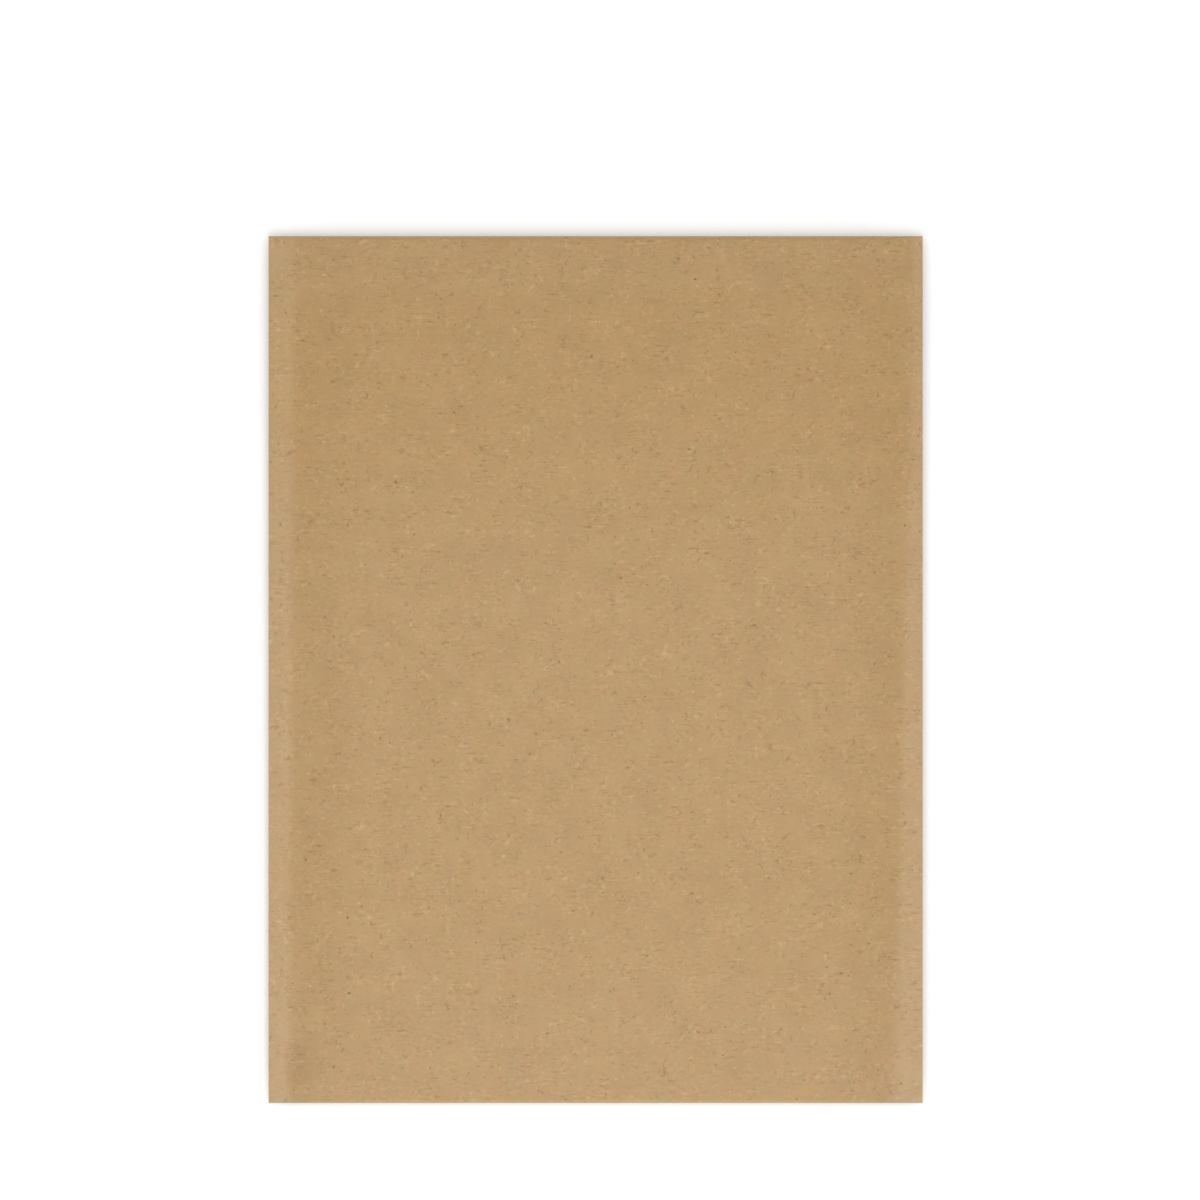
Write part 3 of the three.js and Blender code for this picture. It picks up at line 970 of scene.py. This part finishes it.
FLECK_CELL = 3.6 * MM
FLECK_SIZE = 0.38 * MM
FLECK_LEAST = 0.3
FLECK_CORE = 0.4
FLECK_SMALLEST = 0.4

# Where each starts and where it is full, in the noise from 0 to 1 that places it
CLUSTER_LEVELS = (0.36, 0.64)
CRUMB_LEVELS = (0.62, 0.8)
DARK_DASH_LEVELS = (0.6, 0.78)
PALE_DASH_LEVELS = (0.4, 0.22)
FIBRE_LEVELS = (0.54, 0.68)

# How much each changes the paper's brightness or hue. The clusters scale the other marks.
CLUSTER_SCALE = (0.3, 1.45)
CLOUD_SWING = 0.3
HUE_SWING = 0.3
GRAIN_SWING = 0.25
DARK_CRUMB = -0.2
PALE_CRUMB = 0.1
DARK_DASH = -0.13
PALE_DASH = 0.1
# Painted shade of the patch near the bottom left corner
SHADE_PATCH_DEPTH = -0.08

# How much of its own colour each puts on the paper
PALE_FIBRE = 0.3
DARK_FIBRE = 0.4
PALE_FLECK = 0.3
DARK_FLECK = 0.45
DARK_SPECK = 0.95
# Painted highlight along the folds, as a share of its tint
HIGHLIGHT_SHARE = 0.6

# Finish of the kraft paper
KRAFT_ROUGHNESS = 0.6
SEAL_POLISH = -0.08
GRAIN_ROUGHNESS = 0.2
KRAFT_RELIEF = 0.015 * MM


def flecks(paint, place, cell, size, least):
    """Small flecks. Each cell holds one of random size and weight, if its chance is above least."""
    settings = {"voronoi_dimensions": "2D", "feature": "F1"}
    cells = paint.node("ShaderNodeTexVoronoi", settings, Vector=place, Scale=1 / cell)
    chance = paint.node("ShaderNodeSeparateColor", _0=cells.outputs["Color"])
    weight = paint.ramp(chance.outputs[0], least, 1.0)
    smallest, spare = FLECK_SMALLEST * size / cell, (1 - FLECK_SMALLEST) * size / cell
    radius = paint.maths("MULTIPLY_ADD", chance.outputs[1], spare, smallest)
    part = paint.maths("DIVIDE", cells.outputs["Distance"], radius)
    return paint.times(paint.ramp(part, 1.0, FLECK_CORE), weight)


def fibres(paint, place):
    """Thin curly fibres, which follow the contour lines of a soft noise and break into short ends"""
    contour = paint.maths("ABSOLUTE", paint.swing(paint.noise(place, FIBRE_BEND, 1.5), 1.0))
    ends = paint.ramp(paint.noise(place, FIBRE_BREAK, 1.0), *FIBRE_LEVELS)
    return paint.times(paint.ramp(contour, FIBRE_WIDTH, 0.0), ends)


def dashes(paint, place, turn, shift):
    """Short straight marks that lie nearly one way"""
    stretch = (DASH_WIDTH / DASH_LENGTH, 1, 1)
    lined = paint.moved(place, shift=shift, turn=turn, scale=stretch)
    return paint.noise(lined, DASH_WIDTH, 1.0)


def bubble_relief(paint, place, pitch):
    """The bubbles of the lining that show through the paper: three sets of waves at 60 degrees"""
    wave_number = 4 * math.pi / (math.sqrt(3) * pitch)
    settings = {"operation": "DOT_PRODUCT"}
    waves = []
    for turn in (0, 60, 120):
        angle = math.radians(turn)
        direction = (wave_number * math.sin(angle), wave_number * math.cos(angle), 0)
        node = paint.node("ShaderNodeVectorMath", settings, _0=place, _1=direction)
        waves.append(paint.maths("COSINE", node.outputs["Value"]))
    return paint.total(*waves)


# Painted sheen along the sheet, from the flap's free edge: where each step starts and ends, and how much
# it moves the colour
SHEEN_DIP_START = 58 * MM
SHEEN_DIP_END = 76 * MM
SHEEN_DIP_AMOUNT = -0.085
SHEEN_RISE_START = 85 * MM
SHEEN_RISE_END = 150 * MM
SHEEN_RISE_AMOUNT = 0.105
SHEEN_BOTTOM_START = 215 * MM
SHEEN_BOTTOM_END = 280 * MM
SHEEN_BOTTOM_AMOUNT = 0.1


def painted_sheen(paint, place):
    """Painted sheen along the sheet, mostly in the blue: less just below the top fold, so yellower
    there, then more towards the bottom fold and over the back, so paler and greyer
    """
    along = paint.node("ShaderNodeSeparateXYZ", _0=place).outputs["Y"]
    return paint.total(
        paint.ramp(along, SHEEN_DIP_START, SHEEN_DIP_END, 0.0, SHEEN_DIP_AMOUNT),
        paint.ramp(along, SHEEN_RISE_START, SHEEN_RISE_END, 0.0, SHEEN_RISE_AMOUNT),
        paint.ramp(along, SHEEN_BOTTOM_START, SHEEN_BOTTOM_END, 0.0, SHEEN_BOTTOM_AMOUNT),
    )


def kraft_material(colours, pitch):
    """Recycled brown kraft: cloudy and grainy, with fibres and flecks, and paler where it is sealed,
    partly as painted sheen. Painted sheen along the sheet, a painted highlight along the folds and a
    patch of painted shade are laid on its colour.
    """
    paint = Paint("kraft_paper")
    place = paint.node("ShaderNodeUVMap", {"uv_map": SHEET_MAP}).outputs["UV"]
    other = paint.moved(place, shift=OTHER_SHIFT, turn=OTHER_TURN)
    ragged = paint.ragged(place, RAG_SIZE, RAG_REACH)
    ragged_other = paint.moved(ragged, shift=RAGGED_SHIFT, turn=OTHER_TURN)
    # The seal mask, the mask of the painted fold highlight and the mask of the painted shade patch
    sealed, highlight_mask, shade_mask = (paint.attribute(name) for name in (SEALED, PAINTED_HIGHLIGHT, PAINTED_SHADE))

    cloud = paint.noise(place, CLOUD_SIZE, 4.0, 0.8)
    warm = paint.noise(other, HUE_SIZE, 3.0, 0.75)
    sallow = paint.noise(ragged_other, HUE_SIZE, 3.0, 0.6)
    clusters = paint.noise(other, CLUSTER_SIZE, 2.0)
    clusters = paint.ramp(clusters, *CLUSTER_LEVELS, *CLUSTER_SCALE)
    grain = paint.noise(ragged, GRAIN_SIZE, 2.0, 0.65)
    dark_crumbs = paint.ramp(paint.noise(ragged_other, CRUMB_SIZE, 1.0), *CRUMB_LEVELS)
    pale_crumbs = paint.ramp(paint.noise(ragged, CRUMB_SIZE, 1.0), *CRUMB_LEVELS)
    lined = [dashes(paint, place, turn, shift) for turn, shift in zip(DASH_TURNS, DASH_SHIFTS)]
    marks = [
        paint.swing(grain, GRAIN_SWING),
        paint.times(dark_crumbs, DARK_CRUMB),
        paint.times(pale_crumbs, PALE_CRUMB),
    ]
    for pattern in lined:
        marks.append(paint.times(paint.ramp(pattern, *DARK_DASH_LEVELS), DARK_DASH))
        marks.append(paint.times(paint.ramp(pattern, *PALE_DASH_LEVELS), PALE_DASH))
    speckle = paint.total(*marks)
    light = paint.total(
        paint.swing(cloud, CLOUD_SWING),
        paint.times(speckle, clusters),
        # Painted shade of the patch near the bottom left corner
        paint.times(shade_mask, SHADE_PATCH_DEPTH),
    )
    # The sealed bands paler, partly as painted sheen
    body = paint.mixed(sealed, rgba(colours.kraft), rgba(colours.sealed_kraft_and_sheen))
    # Painted sheen along the sheet
    sheened = paint.shaded(body, painted_sheen(paint, place), SHEEN_SHARES)
    pinkish = paint.shaded(sheened, paint.swing(warm, HUE_SWING), PINK)
    sallowed = paint.shaded(pinkish, paint.swing(sallow, HUE_SWING), SALLOW)
    finished = paint.shaded(sallowed, light, GREYING)

    dark, pale = rgba(colours.dark_fleck), rgba(colours.pale_fleck)
    for pattern, weight, shade in (
        (fibres(paint, other), PALE_FIBRE, pale),
        (fibres(paint, ragged), DARK_FIBRE, dark),
        (flecks(paint, ragged_other, FLECK_CELL, FLECK_SIZE, FLECK_LEAST), PALE_FLECK, pale),
        (flecks(paint, ragged, FLECK_CELL, FLECK_SIZE, FLECK_LEAST), DARK_FLECK, dark),
        (flecks(paint, ragged, SPECK_CELL, SPECK_SIZE, SPECK_LEAST), DARK_SPECK, dark),
        # Painted highlight along the folds
        (highlight_mask, HIGHLIGHT_SHARE, rgba(colours.highlight_tint)),
    ):
        finished = paint.mixed(paint.times(pattern, weight), finished, shade)

    polish = paint.times(sealed, SEAL_POLISH)
    roughness = paint.total(KRAFT_ROUGHNESS, polish, paint.swing(grain, GRAIN_ROUGHNESS))
    texture = paint.total(grain, pale_crumbs, *lined)
    over_bubbles = paint.ramp(sealed, 0.0, 1.0, BUBBLE_SHOW, 0.0)
    padded = paint.times(bubble_relief(paint, place, pitch), over_bubbles)
    return paint.finish(finished, roughness, paint.total(texture, padded), KRAFT_RELIEF)


# Finish of the film, the glue, the liner and the floor
HAZE_SIZE = 6 * MM
FILM_ROUGHNESS = 0.16
FILM_REFRACTION = 1.5
FILM_OPACITY = 0.35
FILM_RELIEF = 0.05 * MM
DRAG_SIZE = 0.9 * MM
DRAG_STRETCH = (0.06, 1, 1)
SPOT_SIZE = 3 * MM
GLUE_ROUGHNESS = 0.3
GLUE_RELIEF = 0.02 * MM
LINER_CLOUD = 5 * MM
LINER_GRAIN = 0.7 * MM
LINER_ROUGHNESS = 0.38
LINER_RELIEF = 0.006 * MM
FLOOR_ROUGHNESS = 0.9
FLOOR_SHINE = 0.1


def film_material(colours):
    """Clear, glossy polyethylene film, a little hazy"""
    paint = Paint("bubble_film")
    haze = paint.noise(paint.place(), HAZE_SIZE, 3.0, 0.6)
    tint = paint.shaded(tuple(colours.film), paint.swing(haze, 0.1))
    roughness = paint.total(FILM_ROUGHNESS, paint.swing(haze, 0.12))
    paint.preset({"IOR": FILM_REFRACTION, "Alpha": FILM_OPACITY})
    return paint.finish(tint, roughness, haze, FILM_RELIEF)


def glue_material(colours):
    """Pale amber pressure-sensitive glue, with a faint lengthwise drag"""
    paint = Paint("glue")
    place = paint.place()
    drag = paint.noise(paint.moved(place, scale=DRAG_STRETCH), DRAG_SIZE, 2.0)
    spots = paint.noise(place, SPOT_SIZE, 3.0, 0.6)
    light = paint.total(paint.swing(drag, 0.1), paint.swing(spots, 0.1))
    roughness = paint.total(GLUE_ROUGHNESS, paint.swing(spots, 0.2))
    tint = paint.shaded(tuple(colours.glue), light)
    return paint.finish(tint, roughness, paint.total(drag, spots), GLUE_RELIEF)


def liner_material(colours):
    """Off-white silicone-coated paper, with the cloudy look of thin paper"""
    paint = Paint("silicone_paper")
    place = paint.place()
    cloud = paint.noise(place, LINER_CLOUD, 4.0, 0.7)
    fine = paint.noise(place, LINER_GRAIN, 2.0)
    light = paint.total(paint.swing(cloud, 0.08), paint.swing(fine, 0.05))
    roughness = paint.total(LINER_ROUGHNESS, paint.swing(fine, 0.1))
    return paint.finish(paint.shaded(tuple(colours.liner), light), roughness, fine, LINER_RELIEF)


def floor_material(colours, glow):
    """A plain matt floor, lit a little from below"""
    paint = Paint("floor")
    pale = rgba(colours.floor)
    paint.preset({"Base Color": pale, "Roughness": FLOOR_ROUGHNESS, "Specular IOR Level": FLOOR_SHINE})
    paint.preset({"Emission Color": pale, "Emission Strength": glow})
    return paint.material


# Stage, in metres
FLOOR_RADIUS = 9.0
FLOOR_SIDES = 96
FLOOR_GAP = 0.00003
NEAR_LIGHT_AT = (0.0, -0.065, 0.38)
NEAR_LIGHT_SIZE = 0.25
FRONT_LIGHT_AT = (0.0, -1.0, 0.38)
FRONT_LIGHT_SIZE = 0.4
SENSOR = 36.0

# The photograph's frame, in its own pixels, and the outline of the envelope in it
PICTURE_SIZE = 1200
OUTLINE_LEFT = 268.6
OUTLINE_RIGHT = 922.6
OUTLINE_TOP = 236.1
OUTLINE_BOTTOM = 1103.05


def add_floor(colours, glow):
    """A large pale disc that the envelope lies on"""
    deselect_all()
    place = (0, 0, -FLOOR_GAP)
    bpy.ops.mesh.primitive_circle_add(
        vertices=FLOOR_SIDES, radius=FLOOR_RADIUS, fill_type="NGON", location=place
    )
    floor = named("floor")
    floor.data.materials.append(floor_material(colours, glow))


def add_soft_light(name, place, size, power):
    """A square soft light that faces the table under it, or the envelope from far off"""
    deselect_all()
    x, y, height = place
    aim = Vector((x, y, 0)) if math.hypot(x, y) < height else Vector()
    turn = (aim - Vector(place)).to_track_quat("-Z", "Y").to_euler()
    bpy.ops.object.light_add(type="AREA", location=place, rotation=turn)
    light = bpy.context.object
    light.name = name
    light.data.shape = "SQUARE"
    light.data.size = size
    light.data.energy = power
    light.visible_camera = False


def add_surround(brightness):
    """Even light from all round"""
    world = bpy.data.worlds.new("surround")
    world.use_nodes = True
    background = world.node_tree.nodes["Background"]
    background.inputs["Color"].default_value = (1, 1, 1, 1)
    background.inputs["Strength"].default_value = brightness
    bpy.context.scene.world = world


def add_camera(shape, lens):
    """A long lens straight above, framed as the photograph is"""
    pixel = (shape.right - shape.left) / (OUTLINE_RIGHT - OUTLINE_LEFT)
    middle = PICTURE_SIZE / 2
    x = pixel * (middle - (OUTLINE_LEFT + OUTLINE_RIGHT) / 2)
    y = pixel * ((OUTLINE_TOP + OUTLINE_BOTTOM) / 2 - middle)
    distance = pixel * PICTURE_SIZE * lens / SENSOR
    deselect_all()
    place = (x, y, shape.sizes.seal_height + distance)
    bpy.ops.object.camera_add(location=place, rotation=(0, 0, 0))
    camera = bpy.context.object
    camera.name = "camera"
    camera.data.sensor_width = SENSOR
    camera.data.lens = lens
    camera.data.clip_end = 2 * FLOOR_RADIUS
    bpy.context.scene.camera = camera


class ENVELOPE_OT_stage(bpy.types.Operator):
    """Set up the floor, the lights and the camera"""

    bl_idname = "envelope.stage"
    bl_label = "Stage"

    def execute(self, context):
        scene = context.scene
        settings = scene.envelope_stage
        add_floor(scene.envelope_colours, settings.floor_glow)
        add_surround(settings.surround)
        add_soft_light("near_light", NEAR_LIGHT_AT, NEAR_LIGHT_SIZE, settings.near_light)
        add_soft_light("front_light", FRONT_LIGHT_AT, FRONT_LIGHT_SIZE, settings.front_light)
        add_camera(Shape(scene.envelope_sizes), settings.lens)
        scene.view_settings.view_transform = "Standard"
        return {"FINISHED"}


class ENVELOPE_PT_sidebar(bpy.types.Panel):
    """Lists the envelope's pieces, sizes and colours"""

    bl_idname = "ENVELOPE_PT_sidebar"
    bl_label = "Padded Envelope"
    bl_space_type = "VIEW_3D"
    bl_region_type = "UI"
    bl_category = "Envelope"

    def draw(self, context):
        for operator in OPERATORS:
            self.layout.operator(operator.bl_idname)
        scene = context.scene
        for settings in (scene.envelope_sizes, scene.envelope_colours, scene.envelope_stage):
            box = self.layout.box()
            for name in settings.__annotations__:
                box.prop(settings, name)


OPERATORS = (
    ENVELOPE_OT_kraft_sheet,
    ENVELOPE_OT_bubble_lining,
    ENVELOPE_OT_closure_strips,
    ENVELOPE_OT_stage,
)
CLASSES = (EnvelopeSizes, EnvelopeColours, EnvelopeStage, *OPERATORS, ENVELOPE_PT_sidebar)


def register():
    """Registers the classes and puts the settings on the scene"""
    for cls in CLASSES:
        bpy.utils.register_class(cls)
    bpy.types.Scene.envelope_sizes = bpy.props.PointerProperty(type=EnvelopeSizes)
    bpy.types.Scene.envelope_colours = bpy.props.PointerProperty(type=EnvelopeColours)
    bpy.types.Scene.envelope_stage = bpy.props.PointerProperty(type=EnvelopeStage)


def unregister():
    """Takes the settings and the classes away again"""
    del bpy.types.Scene.envelope_stage
    del bpy.types.Scene.envelope_colours
    del bpy.types.Scene.envelope_sizes
    for cls in reversed(CLASSES):
        bpy.utils.unregister_class(cls)


def main():
    """Makes the pieces and the stage"""
    register()
    bpy.ops.envelope.kraft_sheet()
    bpy.ops.envelope.bubble_lining()
    bpy.ops.envelope.closure_strips()
    bpy.ops.envelope.stage()


if __name__ == "__main__":
    main()
